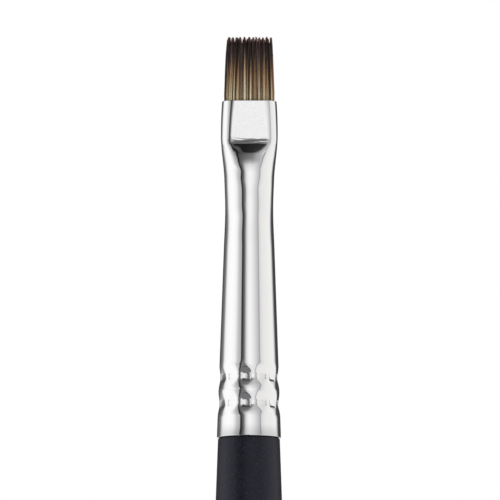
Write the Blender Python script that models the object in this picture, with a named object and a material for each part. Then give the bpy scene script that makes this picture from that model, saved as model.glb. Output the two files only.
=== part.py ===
"""Flat brush for lash serum, upright with its butt at the origin and its tuft at the top.

Metres, +Z up. The ferrule's pressed flats face -Y and +Y. The pieces are a turned wooden handle with
a tenon, a drawn metal ferrule pressed flat at its mouth and crimped onto the tenon by two rings of
dents, a tuft of tapered filaments, the thread tied round the tuft's root, the epoxy plug that the
root is cast in, and the ring of glue between tenon and ferrule.
"""

import math
import random

import bmesh
import bpy
from mathutils import Vector

MM = 0.001

# Handle, measured up from its butt
HANDLE_LENGTH = 127.0 * MM
BUTT_FLAT_DIAMETER = 1.6 * MM
BUTT_ROUNDING = 2.2 * MM
TAIL_DIAMETER = 3.9 * MM
TAIL_TAPER = 0.016
BELLY_DIAMETER = 7.4 * MM
BELLY_BELOW_SHOULDER = 40.0 * MM
SHOULDER_INSET = 0.085 * MM
SHOULDER_TAPER = -0.039
SHOULDER_ROUNDING = 0.12 * MM
TENON_LENGTH = 12.0 * MM
TENON_CHAMFER = 0.5 * MM
TENON_END_RELIEF = 0.22 * MM
TAIL_RINGS = 7
BELLY_RINGS = 5
BUTT_RINGS = 4

# Ferrule, measured down from its mouth
FERRULE_LENGTH = 32.0 * MM
FERRULE_WALL = 0.18 * MM
MOUTH_WIDTH = 5.15 * MM
MOUTH_FLARE = 0.08
PRESSED_THICKNESS = 2.28 * MM
SHOULDERS_WIDTH = 5.38 * MM
SHOULDERS_DEPTH = 3.2 * MM
CREASE_DEPTH = 3.93 * MM
SCOOP_LENGTH = 2.42 * MM
SCOOP_SLOPE = 0.85
SCOOP_RINGS = 4
WAIST_DIAMETER = 4.67 * MM
WAIST_DEPTH = 7.4 * MM
WAIST_TAPER = -0.035
NECK_DIAMETER = 4.54 * MM
NECK_DEPTH = 10.3 * MM
CONE_TOP_DIAMETER = 4.79 * MM
CONE_TOP_DEPTH = 14.0 * MM
HEEL_DIAMETER = 6.0 * MM

# Crimps, measured up from the ferrule's heel
CRIMP_HEIGHTS = (3.2 * MM, 5.7 * MM)
GROOVE_DEPTH = 0.08 * MM
GROOVE_HEIGHT = 2.3 * MM
DENT_DEPTH = 0.28 * MM
DENT_HEIGHT = 0.95 * MM
DENT_FLOOR_HEIGHT = 0.45 * MM

# Corners round each section: a crimp's dents repeat every four of them, and two of the four are pressed in
SIDES = 48
SIDES_PER_DENT = 4
FIRST_DENT_SIDE = 2

# Tuft, measured up from the ferrule's mouth
TUFT_LENGTH = 6.15 * MM
TUFT_TIP_WIDTH = 4.39 * MM
TUFT_TIP_THINNING = 0.30
STRAND_DIAMETER = 0.11 * MM
STRAND_TAPER_START = 0.58
STRAND_COLUMNS = 36
STRAND_ROWS = 9
COLUMNS_PER_LOCK = 3
LOCK_TIGHTNESS = 0.45
LOCK_DROP = 0.75 * MM
ROW_DROP = 0.25 * MM
STRAND_SCATTER = 0.08 * MM
CELL_SCATTER = 0.15
STRAND_SHARE_OF_CELL = 0.76
SLICE_TOP_DEPTH = 0.4 * MM
SLICE_BOTTOM_DEPTH = 3.6 * MM

# Epoxy plug and the tie thread in its groove, measured down from the mouth
PLUG_LENGTH = 7.6 * MM
THREAD_DIAMETER = 0.26 * MM
THREAD_TURNS = 3
THREAD_PITCH = 0.7 * MM
THREAD_DEPTH = 8.6 * MM
THREAD_POINTS_PER_TURN = 24
GROOVE_MARGIN = 0.12 * MM

FIT_GAP = 0.03 * MM
LOOSE_GAP = 0.10 * MM
LEAST_STEP = 0.04 * MM

HEEL_LEVEL = HANDLE_LENGTH
MOUTH_LEVEL = HEEL_LEVEL + FERRULE_LENGTH
SCOOP_END_DEPTH = CREASE_DEPTH + SCOOP_LENGTH
SHOULDER_DIAMETER = HEEL_DIAMETER - 2 * SHOULDER_INSET
SHARP_ANGLE = math.radians(32)


def smooth_through(place, stations):
    """Size at a place on the smooth curve through (place, size, slope) stations."""
    for start, end in zip(stations, stations[1:]):
        if place <= end[0]:
            break
    span = end[0] - start[0]
    share = (place - start[0]) / span
    step = (end[1] - start[1]) * share**2 * (3 - 2 * share)
    start_pull = start[2] * share * (1 - share) ** 2
    end_pull = end[2] * share**2 * (share - 1)
    return start[1] + step + span * (start_pull + end_pull)


def ferrule_half_width(depth):
    cone_taper = (HEEL_DIAMETER - CONE_TOP_DIAMETER) / 2 / (FERRULE_LENGTH - CONE_TOP_DEPTH)
    return smooth_through(
        depth,
        (
            (0.0, MOUTH_WIDTH / 2, MOUTH_FLARE),
            (SHOULDERS_DEPTH, SHOULDERS_WIDTH / 2, 0.0),
            (WAIST_DEPTH, WAIST_DIAMETER / 2, WAIST_TAPER),
            (NECK_DEPTH, NECK_DIAMETER / 2, 0.0),
            (CONE_TOP_DEPTH, CONE_TOP_DIAMETER / 2, cone_taper),
            (FERRULE_LENGTH, HEEL_DIAMETER / 2, cone_taper),
        ),
    )


def ferrule_half_thickness(depth):
    """Half the ferrule's size along Y: the pressed flats, then the scoop, then the round tube."""
    if depth >= SCOOP_END_DEPTH:
        return ferrule_half_width(depth)
    if depth <= CREASE_DEPTH:
        return PRESSED_THICKNESS / 2
    scoop = smooth_through(
        depth,
        (
            (CREASE_DEPTH, PRESSED_THICKNESS / 2, SCOOP_SLOPE),
            (SCOOP_END_DEPTH, ferrule_half_width(SCOOP_END_DEPTH), WAIST_TAPER),
        ),
    )
    return min(scoop, ferrule_half_width(depth))


def crimp_press(depth, side):
    """How far the two crimps press one corner in: a soft groove all round, and a dent at some corners."""
    height = FERRULE_LENGTH - depth
    off = min(abs(height - ring) for ring in CRIMP_HEIGHTS)
    groove_share = min(1.0, off / (GROOVE_HEIGHT / 2))
    press = GROOVE_DEPTH * (1 + math.cos(math.pi * groove_share)) / 2
    if side % SIDES_PER_DENT >= FIRST_DENT_SIDE:
        ramp = (DENT_HEIGHT / 2 - off) / (DENT_HEIGHT / 2 - DENT_FLOOR_HEIGHT / 2)
        press += DENT_DEPTH * min(1.0, max(0.0, ramp))
    return press


def ferrule_section(depth, inset=0.0):
    """Corners of the ferrule's outline at a depth below the mouth, moved in by inset, at its height in Z.

    The outline is two half circles and the two flats that join them. No corner stands on a flat's
    middle, so that each flat is one plane.
    """
    half_width = ferrule_half_width(depth)
    half_thickness = ferrule_half_thickness(depth)
    half_flat = half_width - half_thickness
    corners = []
    for side in range(SIDES):
        angle = math.tau * (side + 0.5) / SIDES
        reach = half_thickness - inset - crimp_press(depth, side)
        x = reach * math.cos(angle) + math.copysign(half_flat, math.cos(angle))
        corners.append(Vector((x, reach * math.sin(angle), MOUTH_LEVEL - depth)))
    return corners


def evenly(start, end, count):
    """Places after the start, up to the end."""
    return [start + (end - start) * step / count for step in range(1, count + 1)]


def spaced(levels):
    """The levels in rising order, without those that all but repeat the one before."""
    kept = []
    for level in sorted(levels):
        if not kept or level - kept[-1] > LEAST_STEP:
            kept.append(level)
    return kept


def ferrule_depths():
    """The depths at which the ferrule has a ring of corners. What fits inside it uses the same ones."""
    flats = [0.0, SHOULDERS_DEPTH / 2, SHOULDERS_DEPTH, CREASE_DEPTH]
    scoop = evenly(CREASE_DEPTH, SCOOP_END_DEPTH, SCOOP_RINGS)
    waist = [WAIST_DEPTH] + evenly(WAIST_DEPTH, NECK_DEPTH, 2) + evenly(NECK_DEPTH, CONE_TOP_DEPTH, 2)
    crimps = [
        FERRULE_LENGTH - ring - side * half_height
        for ring in CRIMP_HEIGHTS
        for half_height in (GROOVE_HEIGHT / 2, DENT_HEIGHT / 2, DENT_FLOOR_HEIGHT / 2)
        for side in (1, -1)
    ]
    return spaced(flats + scoop + waist + crimps + [FERRULE_LENGTH])


def depths_between(top, bottom):
    inner = [depth for depth in ferrule_depths() if top + LEAST_STEP < depth < bottom - LEAST_STEP]
    return [top] + inner + [bottom]


def circle(radius, height):
    corners = []
    for side in range(SIDES):
        angle = math.tau * (side + 0.5) / SIDES
        corners.append(Vector((radius * math.cos(angle), radius * math.sin(angle), height)))
    return corners


def skin(rings, is_tube=False):
    """A mesh through rings of corners. A tube's last ring joins its first, and other meshes get two caps.

    Both ways along a wall, each four-cornered face is split along the same diagonal, so that a piece
    and the piece round it keep one gap.
    """
    mesh = bmesh.new()
    loops = [[mesh.verts.new(corner) for corner in ring] for ring in rings]
    following = loops[1:] + loops[:1] if is_tube else loops[1:]
    for here, there in zip(loops, following):
        rises = there[0].co.z >= here[0].co.z
        for side, corner in enumerate(here):
            after = (side + 1) % len(here)
            if rises:
                mesh.faces.new((corner, here[after], there[after]))
                mesh.faces.new((corner, there[after], there[side]))
            else:
                mesh.faces.new((corner, here[after], there[side]))
                mesh.faces.new((here[after], there[after], there[side]))
    if not is_tube:
        mesh.faces.new(reversed(loops[0]))
        mesh.faces.new(loops[-1])
    return mesh


def make_material(name, colour, roughness, metallic=0.0):
    material = bpy.data.materials.new(name)
    material.use_nodes = True
    shader = material.node_tree.nodes["Principled BSDF"]
    shader.inputs["Base Color"].default_value = (*colour, 1.0)
    shader.inputs["Roughness"].default_value = roughness
    shader.inputs["Metallic"].default_value = metallic
    material.diffuse_color = (*colour, 1.0)
    return material


def add_object(name, data, material, parent, origin):
    data.materials.append(material)
    piece = bpy.data.objects.new(name, data)
    piece.parent = parent
    piece.location = origin
    bpy.context.scene.collection.objects.link(piece)


def finish_mesh(name, mesh, origin):
    """Blender mesh data from a bmesh in world places, with its own origin and smooth round faces."""
    bmesh.ops.translate(mesh, verts=mesh.verts, vec=-origin)
    data = bpy.data.meshes.new(name)
    mesh.to_mesh(data)
    mesh.free()
    data.shade_smooth()
    data.set_sharp_from_angle(angle=SHARP_ANGLE)
    return data


def handle_radius(height):
    return smooth_through(
        height,
        (
            (BUTT_ROUNDING, TAIL_DIAMETER / 2, TAIL_TAPER),
            (HANDLE_LENGTH - BELLY_BELOW_SHOULDER, BELLY_DIAMETER / 2, 0.0),
            (HANDLE_LENGTH, SHOULDER_DIAMETER / 2, SHOULDER_TAPER),
        ),
    )


def butt_rings():
    """A small flat where the turned handle was parted off, and a quarter round up to the tail."""
    flat = BUTT_FLAT_DIAMETER / 2
    rings = []
    for turn in [0.0] + evenly(0.0, math.pi / 2, BUTT_RINGS):
        radius = flat + (TAIL_DIAMETER / 2 - flat) * math.sin(turn)
        rings.append(circle(radius, BUTT_ROUNDING * (1 - math.cos(turn))))
    return rings


def tenon_rings():
    """The tenon follows the crimped ferrule closely, and is thinner above the crimps, where the glue is."""
    inset = FERRULE_WALL + FIT_GAP
    heel_depth = FERRULE_LENGTH + FIT_GAP
    step_depth = glue_bottom_depth()
    tip_depth = FERRULE_LENGTH - TENON_LENGTH
    lower = list(reversed(depths_between(step_depth + LEAST_STEP, heel_depth)))
    rings = [ferrule_section(depth, inset) for depth in lower]
    end_inset = inset + TENON_END_RELIEF
    rings.append(ferrule_section(step_depth, end_inset))
    rings.append(ferrule_section(tip_depth + TENON_CHAMFER, end_inset))
    rings.append(ferrule_section(tip_depth, end_inset + TENON_CHAMFER))
    return rings


def glue_bottom_depth():
    """The glue ring starts where the upper crimp's groove ends."""
    return FERRULE_LENGTH - max(CRIMP_HEIGHTS) - GROOVE_HEIGHT / 2 - LOOSE_GAP


def build_handle(parent):
    belly = HANDLE_LENGTH - BELLY_BELOW_SHOULDER
    shoulder_face = HEEL_LEVEL - FIT_GAP
    shoulder_edge = shoulder_face - SHOULDER_ROUNDING
    heights = evenly(BUTT_ROUNDING, belly, TAIL_RINGS) + evenly(belly, shoulder_edge, BELLY_RINGS)
    rings = butt_rings() + [circle(handle_radius(height), height) for height in heights]
    rings.append(circle(SHOULDER_DIAMETER / 2 - SHOULDER_ROUNDING, shoulder_face))
    rings += tenon_rings()
    butt = Vector((0, 0, 0))
    data = finish_mesh("handle", skin(rings), butt)
    black = make_material("black_lacquer", (0.018, 0.019, 0.022), 0.42)
    add_object("handle", data, black, parent, butt)


def build_ferrule(parent):
    rising = list(reversed(ferrule_depths()))
    outside = [ferrule_section(depth) for depth in rising]
    inside = [ferrule_section(depth, FERRULE_WALL) for depth in reversed(rising)]
    heel = Vector((0, 0, HEEL_LEVEL))
    data = finish_mesh("ferrule", skin(outside + inside, is_tube=True), heel)
    nickel = make_material("polished_nickel", (0.83, 0.83, 0.84), 0.08, metallic=1.0)
    add_object("ferrule", data, nickel, parent, heel)


def build_glue_ring(parent):
    """Cured glue between the tenon's thin end and the ferrule's bore."""
    top = FERRULE_LENGTH - TENON_LENGTH + TENON_CHAMFER + LOOSE_GAP
    bottom = glue_bottom_depth() - LOOSE_GAP
    outer_inset = FERRULE_WALL + FIT_GAP
    inner_inset = outer_inset + TENON_END_RELIEF - FIT_GAP
    rising = list(reversed(depths_between(top, bottom)))
    outside = [ferrule_section(depth, outer_inset) for depth in rising]
    inside = [ferrule_section(depth, inner_inset) for depth in reversed(rising)]
    base = Vector((0, 0, MOUTH_LEVEL - bottom))
    data = finish_mesh("tenon_glue_ring", skin(outside + inside, is_tube=True), base)
    glue = make_material("cured_glue", (0.72, 0.66, 0.48), 0.35)
    add_object("tenon_glue_ring", data, glue, parent, base)


def thread_groove():
    """Top and bottom depth of the plug's groove, and the radius of its floor."""
    half_height = THREAD_TURNS * THREAD_PITCH / 2 + THREAD_DIAMETER / 2 + GROOVE_MARGIN
    top, bottom = THREAD_DEPTH - half_height, THREAD_DEPTH + half_height
    bore = min(ferrule_half_thickness(depth) for depth in (top, THREAD_DEPTH, bottom)) - FERRULE_WALL
    return top, bottom, bore - THREAD_DIAMETER - GROOVE_MARGIN


def build_epoxy_plug(parent):
    """The cast root: it fills the ferrule from the tuft's slice down through the scoop to the round bore."""
    inset = FERRULE_WALL + FIT_GAP
    top = SLICE_BOTTOM_DEPTH + LOOSE_GAP
    bottom = top + PLUG_LENGTH
    groove_top, groove_bottom, floor = thread_groove()
    upper = depths_between(top, groove_top)
    lower = depths_between(groove_bottom, bottom)
    rings = [ferrule_section(depth, inset) for depth in reversed(lower)]
    rings.append(circle(floor, MOUTH_LEVEL - groove_bottom))
    rings.append(circle(floor, MOUTH_LEVEL - groove_top))
    rings += [ferrule_section(depth, inset) for depth in reversed(upper)]
    base = Vector((0, 0, MOUTH_LEVEL - bottom))
    data = finish_mesh("root_epoxy_plug", skin(rings), base)
    amber = make_material("amber_epoxy", (0.55, 0.36, 0.12), 0.25)
    add_object("root_epoxy_plug", data, amber, parent, base)


def thread_points():
    """The tie thread's centre line: a helix laid on the groove's floor."""
    _, _, floor = thread_groove()
    radius = floor + FIT_GAP + THREAD_DIAMETER / 2
    count = THREAD_TURNS * THREAD_POINTS_PER_TURN
    points = []
    for step in range(count + 1):
        turns = step / THREAD_POINTS_PER_TURN
        angle = math.tau * turns
        rise = (turns - THREAD_TURNS / 2) * THREAD_PITCH
        points.append(Vector((radius * math.cos(angle), radius * math.sin(angle), rise)))
    return points


def least_thread_gap(points):
    """The smallest gap between two stretches of the thread that are over half a turn apart."""
    apart = THREAD_POINTS_PER_TURN // 2
    nearest = min(
        (points[later] - points[first]).length
        for first in range(len(points))
        for later in range(first + apart, len(points))
    )
    return nearest - THREAD_DIAMETER


def build_tie_thread(parent):
    points = thread_points()
    print(f"tuft_tie_thread: least gap to itself {least_thread_gap(points) / MM:.2f} mm")
    curve = bpy.data.curves.new("tuft_tie_thread", "CURVE")
    curve.dimensions = "3D"
    curve.bevel_depth = THREAD_DIAMETER / 2
    curve.bevel_resolution = 1
    curve.use_fill_caps = True
    spline = curve.splines.new("POLY")
    spline.points.add(len(points) - 1)
    for place, point in zip(spline.points, points):
        place.co = (*point, 1.0)
    cotton = make_material("cotton_thread", (0.80, 0.77, 0.70), 0.9)
    add_object("tuft_tie_thread", curve, cotton, parent, Vector((0, 0, MOUTH_LEVEL - THREAD_DEPTH)))


def slice_half_sizes():
    """Half the slice's width and thickness: it fills the ferrule wherever it passes, but for the fit gap."""
    inset = FERRULE_WALL + FIT_GAP
    depths = depths_between(SLICE_TOP_DEPTH, SLICE_BOTTOM_DEPTH)
    half_width = min(ferrule_half_width(depth) for depth in depths) - inset
    return half_width, min(ferrule_half_thickness(depth) for depth in depths) - inset


def slice_corner(column, row, height):
    """A corner of the slice's grid of cells. Each row is as wide as the stadium-shaped slice is there."""
    half_width, half_thickness = slice_half_sizes()
    y = half_thickness * (2 * row / STRAND_ROWS - 1)
    row_half_width = half_width - half_thickness + math.sqrt(max(0.0, half_thickness**2 - y**2))
    return Vector((row_half_width * (2 * column / STRAND_COLUMNS - 1), y, height))


def scattered_corner(column, row, chance):
    """A corner of the slice's top face. Those away from its edge are moved a little, as strands pack."""
    corner = slice_corner(column, row, -SLICE_TOP_DEPTH)
    if 0 < column < STRAND_COLUMNS and 1 < row < STRAND_ROWS - 1:
        half_width, half_thickness = slice_half_sizes()
        corner.x += CELL_SCATTER * 2 * half_width / STRAND_COLUMNS * chance.uniform(-1, 1)
        corner.y += CELL_SCATTER * 2 * half_thickness / STRAND_ROWS * chance.uniform(-1, 1)
    return corner


def edge_places():
    """The grid's outer corners as (column, row), counter-clockwise seen from above."""
    front = [(column, 0) for column in range(STRAND_COLUMNS)]
    right = [(STRAND_COLUMNS, row) for row in range(STRAND_ROWS)]
    back = [(column, STRAND_ROWS) for column in range(STRAND_COLUMNS, 0, -1)]
    left = [(0, row) for row in range(STRAND_ROWS, 0, -1)]
    return front + right + back + left


def tuft_place(x, y, height):
    """Where a strand that starts at x, y stands at a height above the mouth: the tuft narrows and thins."""
    share = height / TUFT_LENGTH
    tip_narrowing = 1 - TUFT_TIP_WIDTH / (2 * slice_half_sizes()[0])
    return Vector((x * (1 - tip_narrowing * share), y * (1 - TUFT_TIP_THINNING * share**2), height))


def strand_arms(cell, cell_width):
    """A strand's three corners about its middle, slanted as its cell is, so that they stay inside it."""
    radius = min(STRAND_DIAMETER, STRAND_SHARE_OF_CELL * cell_width) / 2
    rise = (cell[3].co + cell[2].co - cell[0].co - cell[1].co) / 2
    arms = []
    for angle in (math.radians(90), math.radians(210), math.radians(330)):
        y = radius * math.sin(angle)
        arms.append(Vector((radius * math.cos(angle) + y * rise.x / rise.y, y, 0)))
    return arms


def grow_strand(mesh, cell, root, bend, tip):
    """Fills a four-cornered cell of the slice round a strand's root, and builds the strand up to its tip."""
    low_left, low_right, high_right, high_left = cell
    back, left, right = root = [mesh.verts.new(place) for place in root]
    bend = [mesh.verts.new(place) for place in bend]
    point = mesh.verts.new(tip)
    mesh.faces.new((low_left, low_right, right, left))
    mesh.faces.new((low_right, high_right, back, right))
    mesh.faces.new((high_left, low_left, left, back))
    mesh.faces.new((high_right, high_left, back))
    for corner in range(3):
        after = (corner + 1) % 3
        mesh.faces.new((root[corner], root[after], bend[after], bend[corner]))
        mesh.faces.new((bend[corner], bend[after], point))


def add_strand(mesh, cell, column, row, chance):
    """One strand in the middle of its cell, as tall as its place in its lock and its row allow."""
    middle = sum((corner.co for corner in cell), Vector()) / 4
    cell_width = min(cell[1].co.x - cell[0].co.x, cell[2].co.x - cell[3].co.x)
    from_lock_middle = column % COLUMNS_PER_LOCK - (COLUMNS_PER_LOCK - 1) / 2
    row_share = 2 * (row + 0.5) / STRAND_ROWS - 1
    drop = LOCK_DROP * abs(2 * from_lock_middle / COLUMNS_PER_LOCK) + ROW_DROP * row_share**2
    top = TUFT_LENGTH - drop - STRAND_SCATTER * chance.random()
    tip_x = middle.x - LOCK_TIGHTNESS * from_lock_middle * cell_width
    arms = strand_arms(cell, cell_width)
    bend = tuft_place(middle.x, middle.y, STRAND_TAPER_START * top)
    tip = tuft_place(tip_x, middle.y, top)
    grow_strand(mesh, cell, [middle + arm for arm in arms], [bend + arm for arm in arms], tip)


def build_tuft(parent):
    """The filaments, grown from the cells of the slice of packed root that fills the ferrule's mouth."""
    chance = random.Random(12)
    mesh = bmesh.new()
    top = {
        (column, row): mesh.verts.new(scattered_corner(column, row, chance))
        for column in range(STRAND_COLUMNS + 1)
        for row in range(STRAND_ROWS + 1)
    }
    for column in range(STRAND_COLUMNS):
        for row in range(STRAND_ROWS):
            places = ((column, row), (column + 1, row), (column + 1, row + 1), (column, row + 1))
            add_strand(mesh, [top[place] for place in places], column, row, chance)
    edge = edge_places()
    bottom = [mesh.verts.new(slice_corner(*place, -SLICE_BOTTOM_DEPTH)) for place in edge]
    for here, place in enumerate(edge):
        after = (here + 1) % len(edge)
        mesh.faces.new((bottom[here], bottom[after], top[edge[after]], top[place]))
    mesh.faces.new(reversed(bottom))
    data = finish_mesh("bristle_tuft", mesh, Vector((0, 0, 0)))
    filament = make_material("two_tone_filament", (0.16, 0.12, 0.085), 0.5)
    add_object("bristle_tuft", data, filament, parent, Vector((0, 0, MOUTH_LEVEL)))


def main():
    for startup_object in list(bpy.data.objects):
        bpy.data.objects.remove(startup_object)
    brush = bpy.data.objects.new("lash_serum_brush", None)
    bpy.context.scene.collection.objects.link(brush)
    build_handle(brush)
    build_ferrule(brush)
    build_glue_ring(brush)
    build_epoxy_plug(brush)
    build_tie_thread(brush)
    build_tuft(brush)


main()
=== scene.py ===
"""The looks of a flat brush for lash serum: crimped bright ferrule, satin black handle, two-tone filaments.

Metres, +Z up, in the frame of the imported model: the butt stands at the origin and the pressed flats
face -Y and +Y. Angles round the brush are in degrees from the front, -Y, and grow towards +X.
"""

import math

import bpy
import numpy as np
from mathutils import Matrix, Vector


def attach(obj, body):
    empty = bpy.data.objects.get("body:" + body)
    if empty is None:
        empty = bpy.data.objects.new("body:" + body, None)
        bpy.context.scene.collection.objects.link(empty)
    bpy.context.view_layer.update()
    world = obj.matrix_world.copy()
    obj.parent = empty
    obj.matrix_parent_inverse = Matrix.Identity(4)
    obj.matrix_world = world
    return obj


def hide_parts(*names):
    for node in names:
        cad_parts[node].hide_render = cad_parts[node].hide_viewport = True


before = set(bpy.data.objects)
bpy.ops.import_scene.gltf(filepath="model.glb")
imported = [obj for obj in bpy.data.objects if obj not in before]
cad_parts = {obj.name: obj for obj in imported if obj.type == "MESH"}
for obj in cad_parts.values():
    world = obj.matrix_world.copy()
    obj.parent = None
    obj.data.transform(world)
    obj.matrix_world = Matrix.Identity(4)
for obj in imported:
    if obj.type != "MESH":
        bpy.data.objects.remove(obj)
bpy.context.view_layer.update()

MM = 0.001

# Camera: the photograph looks up at the head of the brush, and one of its 500 pixels is 0.0945 mm there
CAMERA_ELEVATION = -6.4
CAMERA_DISTANCE = 1200 * MM
CAMERA_ROLL = 0.07
FRAME_WIDTH = 47.25 * MM
SENSOR_WIDTH = 36.0
AIM_X = 0.08 * MM
AIM_HEIGHT = 144.87 * MM

# Light on matt surfaces: the world and three soft square lamps, which make about 1 together.
# A lamp's name, azimuth and elevation in degrees, and what it gives a white surface that faces it
AMBIENT = 0.62
LAMPS = (("key", -42, 32, 0.34), ("fill", 55, 20, 0.20), ("rim", 170, 40, 0.25))
LAMP_DISTANCE = 1.6
LAMP_SIZE = 0.9

# The dome of cards and flags that the metal shows, and the floor
TENT_RADIUS = 3.0
FLOOR_RADIUS = 40.0
FLOOR_LEVEL = -0.02 * MM

# Handle, measured up from its butt
HANDLE_LENGTH = 127.0 * MM
BUTT_FLAT_RADIUS = 0.8 * MM
BUTT_ROUNDING = 2.2 * MM
TAIL_RADIUS = 1.95 * MM
TAIL_TAPER = 0.016
BELLY_RADIUS = 3.688 * MM
BELLY_HEIGHT = 87.0 * MM
SHOULDER_RADIUS = 2.915 * MM
SHOULDER_TAPER = -0.039
SHOULDER_ROUNDING = 0.14 * MM
TENON_LENGTH = 12.0 * MM
TENON_RELIEF = 0.22 * MM
TENON_STEP = 0.1 * MM
TENON_CHAMFER = 0.2 * MM
GLUE_BOTTOM = 7.0 * MM

# Ferrule, measured down from its mouth
FERRULE_LENGTH = 32.0 * MM
FERRULE_WALL = 0.18 * MM
MOUTH_HALF_WIDTH = 2.575 * MM
MOUTH_FLARE = 0.08
HALF_THICKNESS = 1.14 * MM
SHOULDERS_HALF_WIDTH = 2.69 * MM
SHOULDERS_DEPTH = 3.2 * MM
EDGE_WIDTH = 1.0 * MM
MOUTH_EDGE_WIDTH = 1.20 * MM
EDGE_START = 11.0
EDGE_BEND = 1.25
CREASE_DEPTH = 3.80 * MM
WAIST_RADIUS = 2.355 * MM
WAIST_DEPTH = 7.4 * MM
WAIST_TAPER = -0.035

# The scoop below the flats: depth, half the thickness there, and its slope
SCOOP = (
    (3.55 * MM, 1.140 * MM, 0.0),
    (3.78 * MM, 1.175 * MM, 0.30),
    (4.12 * MM, 1.297 * MM, 0.42),
    (4.22 * MM, 1.360 * MM, 0.83),
    (4.47 * MM, 1.554 * MM, 0.72),
    (4.78 * MM, 1.765 * MM, 0.64),
    (5.10 * MM, 1.952 * MM, 0.54),
    (5.58 * MM, 2.128 * MM, 0.26),
    (6.24 * MM, 2.250 * MM, 0.11),
    (6.90 * MM, 2.300 * MM, 0.03),
)
SCOOP_END = 8.6 * MM

# The neck is a little flatter than a circle: how much, and where that starts, is full, and ends again
NECK_FLATNESS = 0.20
NECK_FLAT_RANGE = (5.4 * MM, 6.4 * MM, 7.2 * MM, 8.8 * MM)

# Neck, cone and heel, and the gap between the ferrule and what it holds
NECK_RADIUS = 2.27 * MM
NECK_DEPTH = 10.3 * MM
CONE_TOP_RADIUS = 2.395 * MM
CONE_TOP_DEPTH = 14.0 * MM
HEEL_RADIUS = 3.03 * MM
EDGE_ROUNDING = 0.03 * MM
HEEL_TURN_IN = 0.012 * MM
HEEL_TURN_REACH = 0.7 * MM
FIT_GAP = 0.03 * MM

# Ripples where the flats end, in millimetres: share of the height, rate down the sheet, bend, the bend's
# rate across the sheet and its phase, phase
RIPPLE_HEIGHT = 0.010
RIPPLES_MIDDLE = 3.85
RIPPLES_REACH = 0.30
RIPPLES = (
    (1.0, 11.0, 1.9, 1.1, 0.6, 0.8),
    (0.6, 19.0, 2.3, 1.7, -1.0, 2.0),
    (0.35, 33.0, 3.1, 2.9, 0.7, 1.0),
)

# Crimps, measured up from the heel
CRIMP_HEIGHTS = (3.2 * MM, 5.7 * MM)
GROOVE_DEPTH = 0.105 * MM
GROOVE_ABOVE = 1.2 * MM
GROOVE_BELOW = 1.3 * MM

# The dents, from the first one round by the right: how deep each is, and its degrees off its even place.
# The first one's place is in degrees from the front
DENT_COUNT = 12
FIRST_DENT = -6.0
DENT_SHARES = (1.3, 0.2, 0.6, 0.65, 1.0, 0.9, 1.0, 0.8, 1.0, 0.4, 0.3, 0.28)
DENT_SHIFTS = (0, 3, 0, 0, 0, 0, 0, 0, 0, 0, 0, 0)

# Each dent draws the wall in with it above and below, ever narrower and further left away from the dent
DRAW_TOP = 1.62 * MM
DRAW_BELOW = 1.05 * MM
DRAW_DEPTH = 0.082 * MM
DRAW_DEPTH_BELOW = 0.095 * MM
DRAW_LEAN = 0.16
DRAW_LEAN_BELOW = 0.15
DRAW_HALF_WIDTH = 1.0 * MM
DRAW_NARROWEST = 0.32 * MM
DRAW_BEND = 2.0
DRAW_BEND_BELOW = 1.8

# The dents' floors and walls
DENT_DEPTH = 0.07 * MM
DENT_HALF_WIDTH = 0.46 * MM
DENT_TOP = 0.30 * MM
DENT_BOTTOM = 0.27 * MM
DENT_WALL = 0.11 * MM
DENT_LOWER_WALL = 0.20 * MM
DENT_FLATNESS = 0.3
DENT_SIDE_WALL = 0.09 * MM

# Meshes: corners round each ring, and rings along
FERRULE_SIDES = 264
FERRULE_RINGS = 262
BORE_RINGS = 30
EDGE_RINGS = 9
HANDLE_SIDES = 96
HANDLE_RINGS = 120
BUTT_RINGS = 14
SHOULDER_RINGS = 7
PRESSED_RINGS = 46
RELIEVED_RINGS = 8
ROOT_SIDES = 96
ROOT_RINGS = 14

# Where the ferrule's rings crowd: (reach, crowd) at its ends and at the dents' ends, and with the depth
# first at the scoop and at the crimps
END_CROWD = (0.15 * MM, 6.0)
DENT_END_CROWD = (0.13 * MM, 9.0)
SCOOP_CROWDS = ((CREASE_DEPTH, 0.75 * MM, 5.0), (5.2 * MM, 0.8 * MM, 2.5))
CRIMP_CROWD = (27.5 * MM, 2.5 * MM, 1.6)

# Where its corners begin to crowd at the dents' side walls, and (reach, crowd) there, in degrees
DENTED_RANGE = (21 * MM, 24 * MM)
SIDE_WALL_CROWD = (2.2, 3.0)

# Capped meshes: the map's strip for the wall, what each end's fan takes of it, and the angle of sharp edges
WALL_FOOT = 0.06
WALL_SHARE = 0.88
FAN_SHARE = 0.05
SHARP_ANGLE = 40

# Levels above the butt
HEEL_LEVEL = HANDLE_LENGTH
MOUTH_LEVEL = HEEL_LEVEL + FERRULE_LENGTH

# Tuft, measured up from the mouth; places across it are at its tips, from its middle
TUFT_LENGTH = 6.145 * MM
FILAMENTS = 2200
FILAMENT_RADIUS = 0.036 * MM
FILAMENT_SIDES = 4
FILAMENT_RINGS = 8
ROOT_DEPTH = 0.6 * MM
ROOT_BOTTOM = 3.6 * MM
ROOT_CLEARANCE = 0.02 * MM
MOUTH_SPREAD = 0.022
TIP_NARROWING = 0.110
TIP_THINNING = 0.32
FRONT_LOCKS = (-1.91, -1.58, -1.21, -0.88, -0.48, -0.01, 0.40, 0.63, 0.94, 1.29, 1.64, 2.02)
LOCK_TIGHTNESS = 0.22
LOCK_START = 0.78
LOCK_DROP = 0.8 * MM
LOCK_BEND = 2.4
TIP_SCATTER = 0.15 * MM
TAPER = 0.60
TAPER_START = 0.84
STREAK_WIDTH = 0.12 * MM

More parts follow.
